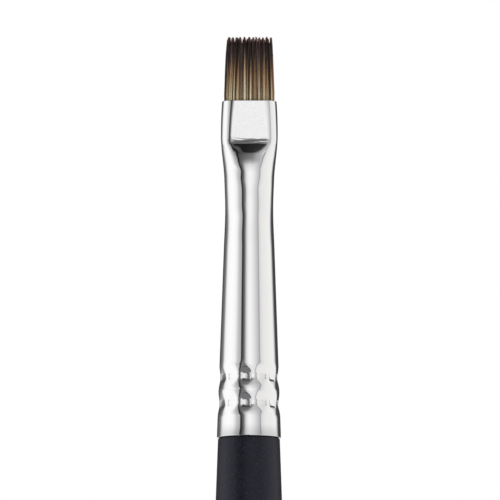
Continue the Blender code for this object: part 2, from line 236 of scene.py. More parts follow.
# How uneven the filaments are, as shares or in millimetres
TUFT_SEED = 41
ROOT_SHAKE = 0.32
BACK_TIP_SHIFT = 0.20
FRONT_DROP = 0.04
BACK_DROP = 0.12
SHORT_SHARE = 0.07
SHORTER_BY = (0.1, 0.6)
TIGHTNESS_RANGE = (0.6, 1.15)
BOW = 0.014
LEAN = 0.035
SWAY = 0.03
THICKNESS_RANGE = (0.8, 1.2)
ALL_DARK_SHARE = 0.10

# Stripes that stand out in the tuft: place and half width across its root in millimetres, how much lighter,
# how much redder
STRIPES = (
    (-2.19, 0.06, -0.8, 0.3),
    (-1.86, 0.16, 0.25, -0.4),
    (-1.50, 0.05, 0.40, -0.9),
    (0.75, 0.45, -0.05, 0.2),
    (1.36, 0.06, 0.45, 0.2),
    (1.90, 0.10, -0.7, 0.1),
    (2.22, 0.14, 0.0, 0.6),
)


def smooth_through(place, stations):
    """Size at each place on the smooth curve through (place, size, slope) stations."""
    place = np.asarray(place, float)
    size = np.full(place.shape, stations[-1][1])
    for start, end in zip(stations, stations[1:]):
        span = end[0] - start[0]
        share = (place - start[0]) / span
        step = (end[1] - start[1]) * share**2 * (3 - 2 * share)
        start_pull = start[2] * share * (1 - share) ** 2
        end_pull = end[2] * share**2 * (share - 1)
        inside = (place >= start[0]) & (place <= end[0])
        size = np.where(inside, start[1] + step + span * (start_pull + end_pull), size)
    return size


def fade(value, low, high):
    """0 below low, 1 above high, and smooth between."""
    share = np.clip((value - low) / (high - low), 0, 1)
    return share * share * (3 - 2 * share)


def crowded(start, end, count, places):
    """Numbers from start to end, closer together near each (place, reach, crowd)."""
    fine = np.linspace(start, end, 6000)
    weight = np.ones_like(fine)
    for place, reach, crowd in places:
        weight += crowd * np.exp(-(((fine - place) / reach) ** 2))
    total = np.concatenate(([0.0], np.cumsum((weight[1:] + weight[:-1]) / 2)))
    return np.interp(np.linspace(0, total[-1], count), total, fine)


# Ferrule


def half_width(depth):
    """Half the ferrule's size along X, from the flared mouth to the heel. On the tube it is the radius."""
    cone_taper = (HEEL_RADIUS - CONE_TOP_RADIUS) / (FERRULE_LENGTH - CONE_TOP_DEPTH)
    stations = (
        (0.0, MOUTH_HALF_WIDTH, MOUTH_FLARE),
        (SHOULDERS_DEPTH, SHOULDERS_HALF_WIDTH, 0.0),
        (WAIST_DEPTH, WAIST_RADIUS, WAIST_TAPER),
        (NECK_DEPTH, NECK_RADIUS, 0.0),
        (CONE_TOP_DEPTH, CONE_TOP_RADIUS, cone_taper),
        (FERRULE_LENGTH, HEEL_RADIUS, cone_taper),
    )
    return smooth_through(depth, stations)


def half_thickness(depth):
    """Half the ferrule's size along Y in its middle: flats, crease, scoop and round tube."""
    if depth <= SCOOP[0][0]:
        return HALF_THICKNESS
    if depth >= SCOOP_END:
        return half_width(depth)
    stations = SCOOP + ((SCOOP_END, float(half_width(SCOOP_END)), WAIST_TAPER),)
    return np.minimum(smooth_through(depth, stations), half_width(depth))


def section(depth, turn):
    """The ferrule's outline at a depth: each turn from the front, in radians, gives x and y.

    Two flats and two round edges at the mouth become one circle in the tube. The flats end in soft creases.
    The neck below the scoop is a little flatter in front and behind than a circle.
    """
    width = float(half_width(depth))
    roundness = (float(half_thickness(depth)) - HALF_THICKNESS) / (width - HALF_THICKNESS)
    x = width * np.sin(turn)
    first = math.sin(math.radians(EDGE_START))
    wider = (MOUTH_EDGE_WIDTH - EDGE_WIDTH) * max(0.0, 1 - depth / CREASE_DEPTH)
    past_flat = np.clip((np.abs(x) - width) / (EDGE_WIDTH + wider) + 1, 0, 1)
    edge = first + (1 - first) * past_flat**EDGE_BEND
    pressed = HALF_THICKNESS * np.sqrt((1 - edge**2) / (1 - first**2)) * np.sign(np.cos(turn))
    in_neck = float(fade(depth, *NECK_FLAT_RANGE[:2]) * (1 - fade(depth, *NECK_FLAT_RANGE[2:])))
    power = 2 + NECK_FLATNESS * in_neck
    rounded = np.sqrt(np.maximum(0, 1 - np.abs(np.sin(turn)) ** power)) * np.sign(np.cos(turn))
    return x, -(pressed * (1 - roundness) + width * rounded * roundness)


def outward(depth, turn):
    """The outline's outward direction at each turn."""
    step = 0.0005
    x_after, y_after = section(depth, turn + step)
    x_before, y_before = section(depth, turn - step)
    along_x, along_y = x_after - x_before, y_after - y_before
    size = np.hypot(along_x, along_y)
    return along_y / size, -along_x / size


def crimp_groove(up):
    """How far one ring's soft groove presses the wall in, at a height above the ring."""
    reach = GROOVE_ABOVE if up > 0 else GROOVE_BELOW
    return GROOVE_DEPTH * math.cos(math.pi / 2 * min(1.0, abs(up) / reach)) ** 2


def crimp_draw(up, across, share):
    """How far one ring's dents draw the wall in with them, at a height above the ring.

    The place is across from the middle of its dent, to the right, and the dent is share of DENT_DEPTH deep.
    """
    if up > 0:
        left_to_go = (DRAW_TOP - max(up, DENT_TOP)) / (DRAW_TOP - DENT_TOP)
    else:
        left_to_go = (DRAW_BELOW - max(-up, DENT_BOTTOM)) / (DRAW_BELOW - DENT_BOTTOM)
    drawn = max(0.0, left_to_go) ** (DRAW_BEND if up > 0 else DRAW_BEND_BELOW)
    half = DRAW_NARROWEST + (DRAW_HALF_WIDTH - DRAW_NARROWEST) * max(0.0, left_to_go)
    lean = DRAW_LEAN * max(0.0, up) + DRAW_LEAN_BELOW * max(0.0, -DENT_BOTTOM - up)
    off = np.minimum(1, np.abs(across + lean) / half)
    lowered = min(1.0, max(0.0, (DENT_TOP - up) / (DENT_TOP + DENT_BOTTOM)))
    depth = DRAW_DEPTH + (DRAW_DEPTH_BELOW - DRAW_DEPTH) * lowered * np.minimum(1, share)
    return depth * drawn * np.cos(math.pi / 2 * off) ** 2


def crimp_press(height, turn):
    """How far the crimps press the wall in: two soft grooves, and twelve square dents round each."""
    ring = min(CRIMP_HEIGHTS, key=lambda crimp: abs(height - crimp))
    up = height - ring
    pitch = 360 / DENT_COUNT
    angle = np.degrees(turn) - FIRST_DENT
    jaw = np.round(angle / pitch).astype(int) % DENT_COUNT
    off_middle = (angle + pitch / 2) % pitch - pitch / 2 - np.array(DENT_SHIFTS)[jaw]
    across = off_middle * math.radians(1) * HEEL_RADIUS
    aside = np.abs(across)
    share = np.array(DENT_SHARES)[jaw]
    groove = sum(crimp_groove(height - crimp) for crimp in CRIMP_HEIGHTS)
    draw = sum(crimp_draw(height - crimp, across, share) for crimp in CRIMP_HEIGHTS)
    wall = DENT_SIDE_WALL / 2
    inside = 1 - fade(aside, DENT_HALF_WIDTH - wall, DENT_HALF_WIDTH + wall)
    wall = DENT_WALL / 2
    over_lower_wall = min(1.0, max(0.0, (up + DENT_BOTTOM + DENT_LOWER_WALL) / DENT_LOWER_WALL))
    along = over_lower_wall * (1 - fade(up, DENT_TOP - wall, DENT_TOP + wall))
    across_floor = np.minimum(1, aside / DENT_HALF_WIDTH)
    bulge = DENT_FLATNESS * DENT_HALF_WIDTH**2 / (2 * HEEL_RADIUS) * (1 - across_floor**2)
    return groove + draw + inside * along * share * (DENT_DEPTH + bulge)


def press_marks(x, depth):
    """Ripples that the press leaves in the sheet where the flats end."""
    x, down = x / MM, depth / MM
    near = np.exp(-(((down - RIPPLES_MIDDLE) / RIPPLES_REACH) ** 2))
    waves = 0.0
    for share, rate, bend, bend_rate, bend_phase, phase in RIPPLES:
        bent = bend * np.sin(bend_rate * x + bend_phase)
        waves = waves + share * np.sin(rate * down + bent + phase)
    return RIPPLE_HEIGHT * MM * near * waves


def ferrule_ring(depth, turn, inset):
    """Points of the ferrule's section at a depth below the mouth, moved in by inset."""
    x, y = section(depth, turn)
    out_x, out_y = outward(depth, turn)
    near_heel = max(0.0, 1 - (FERRULE_LENGTH - depth) / HEEL_TURN_REACH)
    reach = -inset - HEEL_TURN_IN * near_heel**2
    reach = reach - crimp_press(FERRULE_LENGTH - depth, turn)
    on_flats = np.abs(out_y) ** 80
    reach = reach + on_flats * press_marks(x, depth)
    z = np.full(turn.shape, MOUTH_LEVEL - depth)
    return np.stack((x + reach * out_x, y + reach * out_y, z), axis=-1)


def ring_turns(depth):
    """Where round the ring its corners stand: evenly on the plain tube, closer at the dents' side walls."""
    even = np.arange(FERRULE_SIDES) / FERRULE_SIDES
    wall = math.degrees(DENT_HALF_WIDTH / HEEL_RADIUS)
    pitch = 360 / DENT_COUNT
    crowds = ((wall, *SIDE_WALL_CROWD), (pitch - wall, *SIDE_WALL_CROWD))
    a_pitch = crowded(0, pitch, FERRULE_SIDES // DENT_COUNT + 1, crowds)[:-1]
    at_dents = (FIRST_DENT + np.add.outer(np.arange(DENT_COUNT) * pitch, a_pitch).ravel()) / 360
    blend = float(fade(depth, *DENTED_RANGE))
    start = FIRST_DENT / 360
    return math.tau * ((1 - blend) * (even + start) + blend * at_dents)


def edge_rounding(end_depth, way):
    """(depth, inset) pairs round the sheet's edge, from the bore to the outside, at an end of the ferrule.

    The way is 1 at the heel and -1 at the mouth.
    """
    pairs = []
    for turn in np.linspace(0, math.pi, EDGE_RINGS):
        inset = FERRULE_WALL / 2 + (FERRULE_WALL / 2) * math.cos(turn)
        pairs.append((end_depth - way * EDGE_ROUNDING * (1 - math.sin(turn)), inset))
    return pairs


def travelled(rings):
    """How far each ring is from the first, measured along the rings' first corners."""
    steps = np.linalg.norm(np.diff(rings[:, 0], axis=0), axis=-1)
    return np.concatenate(([0.0], np.cumsum(steps)))


def ring_mesh(name, rings, heights):
    """A closed mesh through rings of corners, whose last ring joins the first, with a map for its looks."""
    ring_count, sides = rings.shape[:2]
    corner = np.arange(ring_count * sides).reshape(ring_count, sides)
    after = np.roll(corner, -1, axis=1)
    above = np.roll(corner, -1, axis=0)
    above_after = np.roll(after, -1, axis=0)
    faces = np.stack((corner, after, above_after, above), axis=-1).reshape(-1, 4)
    u = np.arange(sides + 1) / sides
    next_heights = np.append(heights[1:], heights[-1] + (heights[-1] - heights[-2]))
    places = quad_places(u[None, :-1], u[None, 1:], heights[:, None], next_heights[:, None])
    return quads_mesh(name, rings.reshape(-1, 3), faces, places)


def quad_places(*edges):
    """Places on the map for quads, from their left, right, low and high edges."""
    left, right, low, high = np.broadcast_arrays(*edges)
    return np.stack((left, low, right, low, right, high, left, high), axis=-1).reshape(-1, 2)


def quads_mesh(name, corners, faces, places):
    """Mesh data from corners, four-cornered faces and a place on the map for each face's corner."""
    data = bpy.data.meshes.new(name)
    data.vertices.add(len(corners))
    data.vertices.foreach_set("co", np.asarray(corners, np.float32).ravel())
    data.loops.add(faces.size)
    data.loops.foreach_set("vertex_index", faces.astype(np.int32).ravel())
    data.polygons.add(len(faces))
    data.polygons.foreach_set("loop_start", np.arange(0, faces.size, 4, dtype=np.int32))
    data.update(calc_edges=True)
    data.shade_smooth()
    layer = data.uv_layers.new(name="OFBake")
    layer.data.foreach_set("uv", np.asarray(places, np.float32).ravel())
    data.validate()
    return data


def add_piece(name, data, material, slot, *nodes):
    """A piece of the brush that rides on its body and stands for the CAD nodes that are named."""
    data.materials.append(material)
    piece = bpy.data.objects.new(name, data)
    bpy.context.scene.collection.objects.link(piece)
    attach(piece, "root")
    if nodes:
        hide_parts(*nodes)


def build_ferrule(material):
    dent_rows = []
    for ring in CRIMP_HEIGHTS:
        for side in (DENT_BOTTOM, -DENT_TOP):
            dent_rows.append((FERRULE_LENGTH - ring + side, *DENT_END_CROWD))
    crowds = [(0.0, *END_CROWD), *SCOOP_CROWDS, *dent_rows, (FERRULE_LENGTH, *END_CROWD), CRIMP_CROWD]
    outside = crowded(FERRULE_LENGTH - EDGE_ROUNDING, EDGE_ROUNDING, FERRULE_RINGS, crowds)
    inside = crowded(EDGE_ROUNDING, FERRULE_LENGTH - EDGE_ROUNDING, BORE_RINGS, crowds[1:-1])
    heel = edge_rounding(FERRULE_LENGTH, 1)
    mouth = reversed(edge_rounding(0.0, -1))
    course = heel + [(depth, 0.0) for depth in outside[1:-1]] + list(mouth)
    course += [(depth, FERRULE_WALL) for depth in inside[1:-1]]
    rings = np.array([ferrule_ring(depth, ring_turns(depth), inset) for depth, inset in course])
    way = travelled(rings)
    room_to_close = 1.01
    data = ring_mesh("ferrule_sheet", rings, way / (way[-1] * room_to_close))
    add_piece("ferrule_sheet", data, material, "bright_nickel", "ferrule")


# Handle


def handle_course():
    """(height, radius) pairs up the turned handle, from its butt to the foot of the tenon."""
    pairs = []
    for turn in np.linspace(0, math.pi / 2, BUTT_RINGS):
        radius = BUTT_FLAT_RADIUS + (TAIL_RADIUS - BUTT_FLAT_RADIUS) * math.sin(turn)
        pairs.append((BUTT_ROUNDING * (1 - math.cos(turn)), radius))
    stations = (
        (BUTT_ROUNDING, TAIL_RADIUS, TAIL_TAPER),
        (BELLY_HEIGHT, BELLY_RADIUS, 0.0),
        (HANDLE_LENGTH, SHOULDER_RADIUS, SHOULDER_TAPER),
    )
    top = HANDLE_LENGTH - FIT_GAP - SHOULDER_ROUNDING
    for height in np.linspace(BUTT_ROUNDING, top, HANDLE_RINGS)[1:]:
        pairs.append((height, float(smooth_through(height, stations))))
    edge = pairs[-1][1]
    for turn in np.linspace(0, math.pi / 2, SHOULDER_RINGS)[1:]:
        radius = edge - SHOULDER_ROUNDING * (1 - math.cos(turn))
        pairs.append((top + SHOULDER_ROUNDING * math.sin(turn), radius))
    return pairs


def tenon_rings(share):
    """The tenon's rings: pressed in by the crimps with the ferrule, thinner above them, and chamfered."""
    turn = math.tau * share
    inset = FERRULE_WALL + FIT_GAP
    rings = []
    for height in np.linspace(0.0, GLUE_BOTTOM, PRESSED_RINGS):
        rings.append(ferrule_ring(FERRULE_LENGTH - height, turn, inset))
    for height in np.linspace(GLUE_BOTTOM + TENON_STEP, TENON_LENGTH, RELIEVED_RINGS):
        rings.append(ferrule_ring(FERRULE_LENGTH - height, turn, inset + TENON_RELIEF))
    end_depth = FERRULE_LENGTH - TENON_LENGTH - TENON_CHAMFER
    rings.append(ferrule_ring(end_depth, turn, inset + 3 * TENON_RELIEF))
    return rings


def build_handle(material):
    share = np.arange(HANDLE_SIDES) / HANDLE_SIDES
    turn = math.tau * share
    rings = []
    for height, radius in handle_course():
        z = np.full(share.shape, height)
        rings.append(np.stack((radius * np.sin(turn), -radius * np.cos(turn), z), axis=-1))
    rings += tenon_rings(share)
    rings = np.array(rings)
    way = travelled(rings)
    data = capped_mesh("turned_handle", rings, way / way[-1])
    add_piece("turned_handle", data, material, "black_lacquer", "handle")


def capped_mesh(name, rings, heights):
    """A closed mesh through rings of corners, with a fan of faces over its first and last ring."""
    ring_count, sides = rings.shape[:2]
    corners = rings.reshape(-1, 3)
    ends = np.stack((rings[0].mean(axis=0), rings[-1].mean(axis=0)))
    corner = np.arange(len(corners)).reshape(ring_count, sides)
    after = np.roll(corner, -1, axis=1)
    faces = np.stack((corner[:-1], after[:-1], after[1:], corner[1:]), axis=-1).reshape(-1, 4).tolist()
    u = np.arange(sides + 1) / sides
    levels = WALL_FOOT + WALL_SHARE * heights[:, None]
    places = quad_places(u[None, :-1], u[None, 1:], levels[:-1], levels[1:]).tolist()
    first_end, last_end = len(corners), len(corners) + 1
    last = (ring_count - 1) * sides
    for side in range(sides):
        after = (side + 1) % sides
        left, right = side / sides, (side + 1) / sides
        faces.append((after, side, first_end))
        places += [(right, FAN_SHARE), (left, FAN_SHARE), ((left + right) / 2, 0.0)]
        faces.append((last + side, last + after, last_end))
        places += [(left, 1 - FAN_SHARE), (right, 1 - FAN_SHARE), ((left + right) / 2, 1.0)]
    data = bpy.data.meshes.new(name)
    data.from_pydata(np.concatenate((corners, ends)).tolist(), [], faces)
    data.shade_smooth()
    data.set_sharp_from_angle(angle=math.radians(SHARP_ANGLE))
    layer = data.uv_layers.new(name="OFBake")
    layer.data.foreach_set("uv", np.array(places, np.float32).ravel())
    return data


# Tuft


def packed_roots(count, half_x, half_y, chance):
    """Places of the filaments in the mouth: rows of a packed pattern, shaken a little, inside a stadium."""
    flat = half_x - half_y
    area = math.pi * half_y**2 + 4 * flat * half_y
    pitch = math.sqrt(area / count * 2 / math.sqrt(3))
    places = []
    rows = int(2 * half_y / (pitch * math.sqrt(3) / 2)) + 2
    for row in range(-rows, rows + 1):
        y = row * pitch * math.sqrt(3) / 2
        if abs(y) > half_y:
            continue
        reach = flat + math.sqrt(half_y**2 - y**2)
        columns = max(2, round(2 * reach / pitch) + row % 2)
        for x in np.linspace(-reach, reach, columns):
            places.append((x, y))
    places = np.array(places)
    places += chance.uniform(-ROOT_SHAKE, ROOT_SHAKE, places.shape) * pitch
    return places


def lock_of(x, tips):
    """Each filament's lock, the lock's tip, and how far off that it stands, as a share of half the lock."""
    edges = np.concatenate(([2 * tips[0] - tips[1]], (tips[1:] + tips[:-1]) / 2, [2 * tips[-1] - tips[-2]]))
    lock = np.clip(np.searchsorted(edges, x) - 1, 0, len(tips) - 1)
    reach = np.where(x < tips[lock], tips[lock] - edges[lock], edges[lock + 1] - tips[lock])
    return lock, tips[lock], np.minimum(1, np.abs(x - tips[lock]) / reach)


def tuft_paths(roots, chance):
    """The line of each filament as FILAMENT_RINGS points, and its radius at each.

    The front and the back of the tuft end in locks of their own, which nearly stand behind each other.
    """
    count = len(roots)
    half = MOUTH_HALF_WIDTH - FERRULE_WALL
    front_tips = np.array(FRONT_LOCKS) * MM / (1 + MOUTH_SPREAD - TIP_NARROWING)
    back_tips = front_tips + chance.uniform(-BACK_TIP_SHIFT, BACK_TIP_SHIFT, len(front_tips)) * MM
    y_share = roots[:, 1] / (HALF_THICKNESS - FERRULE_WALL)
    in_front = y_share + chance.normal(0, 0.12, count) < -0.15
    halves = []
    for tips, drop in ((front_tips, FRONT_DROP), (back_tips, BACK_DROP)):
        lock, middle, off = lock_of(roots[:, 0], tips)
        halves.append(np.stack((middle, off, chance.uniform(-drop, 0.0, len(tips))[lock])))
    middle, off, lift = np.where(in_front, *halves)
    top = TUFT_LENGTH - LOCK_DROP * off**LOCK_BEND + lift * MM - TIP_SCATTER * chance.random(count) ** 2
    short = chance.random(count) < SHORT_SHARE
    top = np.where(short, top - chance.uniform(*SHORTER_BY, count) * MM, top)
    share = np.linspace(0, 1, FILAMENT_RINGS) ** 0.8
    z = -ROOT_DEPTH + share[None, :] * (top[:, None] + ROOT_DEPTH)
    rise = np.clip(z / TUFT_LENGTH, 0, 1)
    tightness = LOCK_TIGHTNESS * chance.uniform(*TIGHTNESS_RANGE, (count, 1))
    gather = tightness * fade(rise, LOCK_START, 1.0)
    bow = chance.normal(0, BOW, (count, 1)) * MM
    lean = chance.normal(0, LEAN, (count, 1)) * MM
    x = roots[:, :1] + (middle[:, None] - roots[:, :1]) * gather
    spread = 1 + MOUTH_SPREAD * fade(rise, 0.0, 0.05) - TIP_NARROWING * rise
    x = x * spread + bow * np.sin(math.pi * rise) + lean * rise**2
    y = roots[:, 1:] * (1 - TIP_THINNING * rise**1.6) + chance.normal(0, SWAY, (count, 1)) * MM * rise
    limit = half * spread
    x = np.clip(x, -limit, limit)
    radius = FILAMENT_RADIUS * chance.uniform(*THICKNESS_RANGE, (count, 1))
    radius = radius * (1 - TAPER * fade(share[None, :], TAPER_START, 1.0))
    return np.stack((x, y, MOUTH_LEVEL + z), axis=-1), radius


def streaks(x, widths, chance):
    """A value from 0 to 1 for each filament: uneven bands across the tuft, low and high by turns."""
    width = widths * STREAK_WIDTH
    count = 2 * int(2 * MOUTH_HALF_WIDTH / width)
    edges = -MOUTH_HALF_WIDTH + np.cumsum(chance.uniform(0.5, 1.5, count) * width)
    away = chance.uniform(0.05, 0.5, count)
    away[::2] *= -1
    return 0.5 + away[np.searchsorted(edges, x)]


def tuft_colours(roots, chance):
    """What each filament's colours come from: how light and red it is, where it darkens, and how much."""
    count = len(roots)
    x = roots[:, 0]
    tone = 0.78 * streaks(x, 1, chance) + 0.20 * streaks(x, 3, chance)
    tone = tone + 0.20 * chance.random(count) - 0.10
    red = 0.55 * streaks(x, 1.4, chance) + 0.45 * chance.random(count)
    turn = 0.31 + 0.30 * streaks(x, 1.3, chance) + chance.normal(0, 0.04, count)
    for middle, reach, lighter, redder in STRIPES:
        near = np.exp(-(((x / MM - middle) / reach) ** 2))
        tone = tone + near * lighter
        red = red + near * redder
        turn = turn + near * lighter * 0.25
    all_dark = chance.random(count) < ALL_DARK_SHARE
    turn = np.where(all_dark, -0.3, turn)
    shade = 0.7 * streaks(x, 1, chance) + 0.3 * chance.random(count)
    return {"tone": np.clip(tone, 0, 1), "red": np.clip(red, 0, 1), "turn": turn, "shade": shade}


def filament_mesh(name, paths, radius, values, chance):
    """Closed tapered filaments along the paths, each with its own strip of the map and its own values."""
    count, rings = radius.shape
    sides = FILAMENT_SIDES
    turn = chance.uniform(0, math.tau, (count, 1, 1)) + math.tau * np.arange(sides)[None, None, :] / sides
    ring = np.stack((np.cos(turn), np.sin(turn), np.zeros_like(turn)), axis=-1)
    corners = paths[:, :, None, :] + radius[:, :, None, None] * ring
    index = np.arange(count * rings * sides).reshape(count, rings, sides)
    after = np.roll(index, -1, axis=2)
    walls = np.stack((index[:, :-1], after[:, :-1], after[:, 1:], index[:, 1:]), axis=-1)
    slimness, side_gap, end_gap, cap = 6, 0.1, 0.05, 0.02
    across = math.ceil(math.sqrt(count * slimness))
    down = math.ceil(count / across)
    column, row = np.arange(count) % across, np.arange(count) // across
    left = (column + side_gap) / across
    width = (1 - 2 * side_gap) / across
    low = (row + end_gap) / down
    height = (1 - 2 * end_gap) / down
    side_place = np.arange(sides + 1) / sides
    ring_place = np.linspace(0, 1, rings)
    u = left[:, None] + width * side_place[None, :]
    v = low[:, None] + height * ring_place[None, :]
    places = (
        quad_places(u[:, None, :-1], u[:, None, 1:], v[:, :-1, None], v[:, 1:, None]),
        quad_places(u[:, 0], u[:, 2], v[:, 0], v[:, 0] + cap * height),
        quad_places(u[:, 0], u[:, 2], v[:, -1], v[:, -1] - cap * height),
    )
    faces = np.concatenate((walls.reshape(-1, 4), index[:, 0, ::-1], index[:, -1]))
    data = quads_mesh(name, corners.reshape(-1, 3), faces, np.concatenate(places))
    for value_name, value in values.items():
        layer = data.attributes.new(value_name, "FLOAT", "POINT")
        layer.data.foreach_set("value", np.repeat(value, rings * sides).astype(np.float32))
    return data


def build_tuft(material, root_material):
    chance = np.random.default_rng(TUFT_SEED)
    half = MOUTH_HALF_WIDTH - FERRULE_WALL - ROOT_CLEARANCE
    thick = HALF_THICKNESS - FERRULE_WALL - ROOT_CLEARANCE
    roots = packed_roots(FILAMENTS, half, thick, chance)
    flat = half - thick
    aside = np.maximum(0, np.abs(roots[:, 0]) - flat)
    reach = np.hypot(aside, roots[:, 1])
    pull = np.minimum(1, (thick - FILAMENT_RADIUS) / np.maximum(reach, 1e-9))
    roots[:, 0] = np.sign(roots[:, 0]) * (np.minimum(np.abs(roots[:, 0]), flat) + aside * pull)
    roots[:, 1] *= pull
    paths, radius = tuft_paths(roots, chance)
    data = filament_mesh("tuft_filaments", paths, radius, tuft_colours(roots, chance), chance)
    add_piece("tuft_filaments", data, material, "filament", "bristle_tuft")
    build_packed_root(root_material)


def build_packed_root(material):
    """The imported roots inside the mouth, under the filaments: a pressed block with a domed top."""
    turn = math.tau * np.arange(ROOT_SIDES) / ROOT_SIDES
    inset = FERRULE_WALL + FIT_GAP
    rings = []
    for depth in np.linspace(ROOT_BOTTOM, 0.62 * MM, ROOT_RINGS):
        rings.append(ferrule_ring(depth, turn, inset))
    dome_height = 0.05 * MM
    for step in (0.1, 0.3, 0.5, 0.7, 0.9):
        ring = ferrule_ring(ROOT_DEPTH, turn, inset)
        ring[:, :2] *= 1 - step
        ring[:, 2] += dome_height * step
        rings.append(ring)
    rings = np.array(rings)
    data = capped_mesh("packed_root", rings, np.linspace(0, 1, len(rings)))
    add_piece("packed_root", data, material, "filament", "bristle_tuft")


# Materials


def node(tree, kind, inputs=(), **settings):
    """A new node with its settings, whose inputs are set to values or joined to other nodes' outputs."""
    made = tree.nodes.new("ShaderNode" + kind)
    for name, value in settings.items():
        setattr(made, name, value)
    set_inputs(tree, made, dict(inputs))
    return made


def set_inputs(tree, made, inputs):
    for socket, value in inputs.items():
        if isinstance(value, bpy.types.NodeSocket):
            tree.links.new(value, made.inputs[socket])
        else:
            made.inputs[socket].default_value = value


def math_node(tree, operation, *values):
    return node(tree, "Math", dict(enumerate(values)), operation=operation).outputs[0]


def product(tree, *values):
    return math_node(tree, "MULTIPLY", *values)


def vector_math(tree, operation, *values):
    made = node(tree, "VectorMath", dict(enumerate(values)), operation=operation)
    return made.outputs["Vector"]


def parts_of(tree, vector):
    return node(tree, "SeparateXYZ", {"Vector": vector}).outputs


def ranged(tree, value, from_low, from_high, to_low=0.0, to_high=1.0, kind="LINEAR"):
    """The value moved from one range to another, and held inside it."""
    sockets = ("Value", "From Min", "From Max", "To Min", "To Max")
    places = dict(zip(sockets, (value, from_low, from_high, to_low, to_high)))
    return node(tree, "MapRange", places, interpolation_type=kind).outputs["Result"]


def rgba(colour):
    """A colour with its alpha. One number stands for a level of grey."""
    return (colour, colour, colour, 1) if isinstance(colour, (int, float)) else (*colour, 1)


def plain_colour(tree, colour):
    made = node(tree, "RGB").outputs["Color"]
    made.default_value = rgba(colour)
    return made


def ramp(tree, factor, stops):
    """A colour ramp through (place, colour) stops."""
    made = node(tree, "ValToRGB", {"Fac": factor})
    band = made.color_ramp
    band.elements[0].position = stops[0][0]
    band.elements[1].position = stops[-1][0]
    band.elements[0].color = rgba(stops[0][1])
    band.elements[1].color = rgba(stops[-1][1])
    for place, colour in stops[1:-1]:
        band.elements.new(place).color = rgba(colour)
    return made.outputs["Color"]


def blended(tree, share, first, second, kind="MIX"):
    """The first colour where share is 0. Where it is 1, the second, or the two multiplied."""
    inputs = {"Factor": share, "A": first, "B": second}
    return node(tree, "Mix", inputs, data_type="RGBA", blend_type=kind).outputs["Result"]


def noise(tree, place, scale, stretch=(1, 1, 1), detail=2.0):
    """Noise in the object's own space. The scale is in bumps for each metre."""
    stretched = node(tree, "Mapping", {"Vector": place, "Scale": stretch}).outputs["Vector"]
    inputs = {"Vector": stretched, "Scale": scale, "Detail": detail}
    return node(tree, "TexNoise", inputs).outputs["Fac"]


def new_material(name):
    """A new material, its node tree and shader, and the place in the object's own space."""
    material = bpy.data.materials.new(name)
    material.use_nodes = True
    tree = material.node_tree
    shader = tree.nodes["Principled BSDF"]
    place = node(tree, "TexCoord").outputs["Object"]
    return material, tree, shader, place


def bump(tree, shader, height, strength, distance):
    made = node(tree, "Bump", {"Height": height, "Strength": strength, "Distance": distance})
    tree.links.new(made.outputs["Normal"], shader.inputs["Normal"])


def pressed_flat(tree, place):
    """1 on the pressed flats, where the jaws leave the plate a little duller, and 0 off them."""
    axes = parts_of(tree, place)
    aside = math_node(tree, "ABSOLUTE", axes["X"])
    flat = MOUTH_HALF_WIDTH - EDGE_WIDTH
    inside = ranged(tree, aside, flat + 0.1 * MM, flat)
    over = ranged(tree, axes["Z"], MOUTH_LEVEL - SCOOP[0][0] - 0.2 * MM, MOUTH_LEVEL - SCOOP[0][0])
    return product(tree, inside, over)


def nickel():
    """Polished nickel plate: drawing lines along the ferrule, fine grain, faint smudges, and painted shade
    that darkens the plate towards the heel.
    """
    material, tree, shader, place = new_material("bright_nickel")
    lines = noise(tree, place, 5200, (1, 1, 0.02), 3.0)
    grain = noise(tree, place, 9000, detail=1.0)
    smudge = noise(tree, place, 260, (1, 1, 0.6), 3.0)
    tint = ramp(tree, smudge, ((0.3, (0.905, 0.905, 0.91)), (0.7, (0.93, 0.93, 0.93))))
    flat = pressed_flat(tree, place)
    specks = noise(tree, place, 11000)
    dull = ramp(tree, specks, ((0.30, 0.86), (0.42, 0.95), (0.62, 0.985), (0.75, 1.0)))
    plate = blended(tree, flat, tint, dull, "MULTIPLY")
    z = parts_of(tree, place)["Z"]
    # Painted shade: the plate's colour is darkened towards the heel, to 0.74 at the rim, in place of the
    # dim reflection there.
    heel_painted_shade = ranged(tree, z, HEEL_LEVEL + 1.3 * MM, HEEL_LEVEL + 0.1 * MM, 1.0, 0.74, "SMOOTHSTEP")
    colour = vector_math(tree, "MULTIPLY", plate, heel_painted_shade)
    drawn = ranged(tree, lines, 0.3, 0.7, 0.035, 0.06)
    smudged = ranged(tree, smudge, 0.45, 0.75, 0.0, 0.03)
    rough = math_node(tree, "ADD", drawn, smudged)
    rough = math_node(tree, "ADD", rough, product(tree, flat, 0.05))
    set_inputs(tree, shader, {"Base Color": colour, "Roughness": rough, "Metallic": 1.0})
    height = math_node(tree, "ADD", product(tree, lines, 0.6), grain)
    bump(tree, shader, height, 0.25, 0.0000006)
    return material


def lacquer():
    """Satin black lacquer: a fine grain with paler flecks, a slight orange peel and a low bluish sheen."""
    material, tree, shader, place = new_material("black_lacquer")
    grain = noise(tree, place, 7000)
    peel = noise(tree, place, 1400, (1, 1, 0.7))
    flecks = (
        (0.35, (0.0008, 0.0007, 0.0030)),
        (0.58, (0.0026, 0.0024, 0.0060)),
        (0.70, (0.019, 0.020, 0.027)),
    )
    rough = ranged(tree, grain, 0.3, 0.7, 0.36, 0.46)
    set_inputs(tree, shader, {"Base Color": ramp(tree, grain, flecks), "Roughness": rough})
    set_inputs(tree, shader, {"Specular IOR Level": 0.42, "Specular Tint": (0.80, 0.84, 1.0, 1.0)})
    set_inputs(tree, shader, {"Sheen Weight": 0.03, "Sheen Roughness": 0.55})
    set_inputs(tree, shader, {"Sheen Tint": (0.84, 0.86, 1.0, 1.0)})
    height = math_node(tree, "ADD", grain, product(tree, peel, 1.5))
    bump(tree, shader, height, 0.4, 0.000004)
    return material


